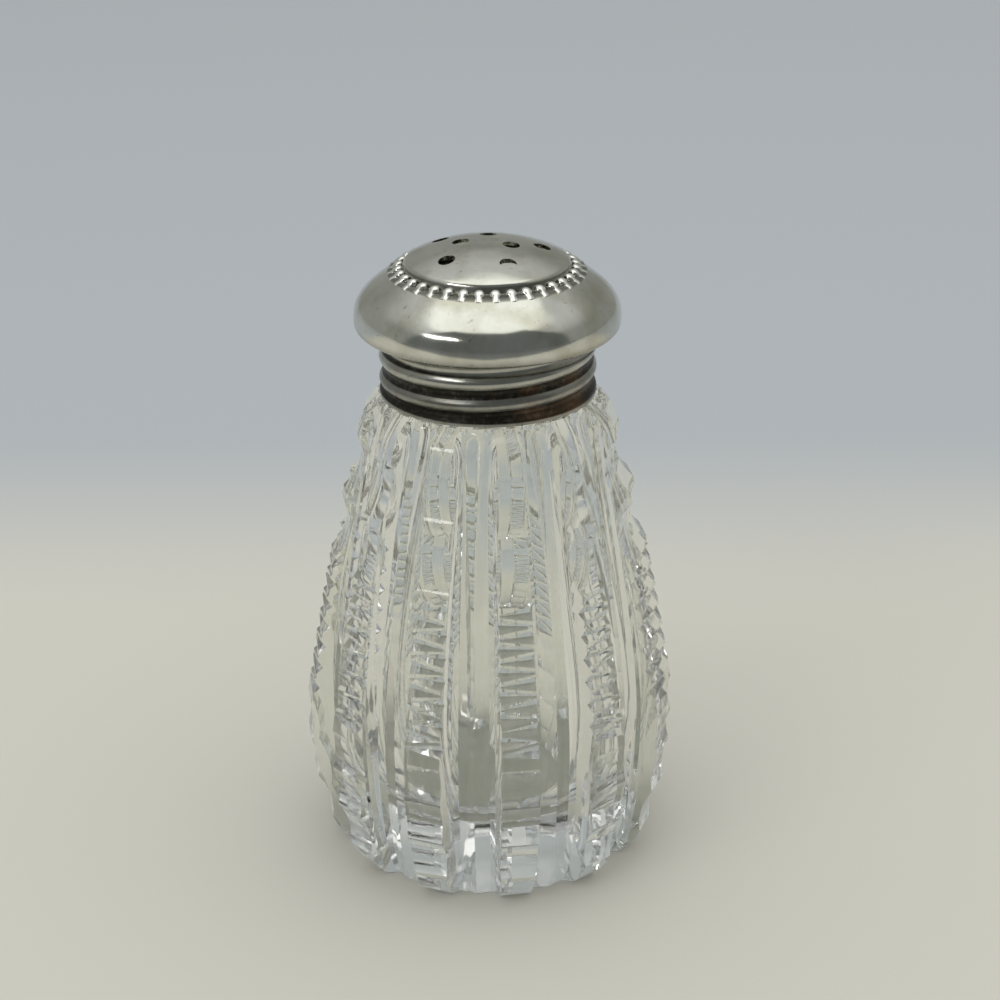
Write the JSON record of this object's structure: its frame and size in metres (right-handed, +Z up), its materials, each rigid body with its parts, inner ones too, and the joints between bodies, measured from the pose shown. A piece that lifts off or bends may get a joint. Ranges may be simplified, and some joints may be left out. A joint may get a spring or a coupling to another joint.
{
  "type": "cut glass shaker",
  "caption": "Clear cut glass shaker: a bell-shaped bottle with notched columns all round, and a screw-on domed silver cap with a beaded ring and pouring holes.",
  "frame": {"origin": "centre of the foot, on the surface that the shaker stands on", "axes": "+Z up along the axis of the bottle and the cap; -Y towards the side that the picture shows"},
  "size_m": [0.044, 0.044, 0.0746],
  "materials": {
    "clear_glass": "polished cut glass",
    "cap_silver": "worn silver with dark tarnish in the hollows",
    "solder": "dark, dull solder"
  },
  "bodies": {
    "bottle": {"glass_body": "clear_glass"},
    "seam": {"solder_ring": "solder"},
    "cap": {"cap_dome": "cap_silver", "cap_collar": "cap_silver"}
  },
  "joints": [
    {"name": "cap_lift", "type": "slide", "parent": "bottle", "child": "seam", "axis": [0, 0, 1], "range_m": [0, 0.0089]},
    {"name": "cap_turn", "type": "hinge", "parent": "seam", "child": "cap", "pos_m": [0, 0, 0.0609], "axis": [0, 0, 1], "range_deg": [0, 1260]}
  ],
  "couplings": [
    {"joint": "cap_lift", "follows": "cap_turn", "m_per_rad": 0.00040425}
  ]
}
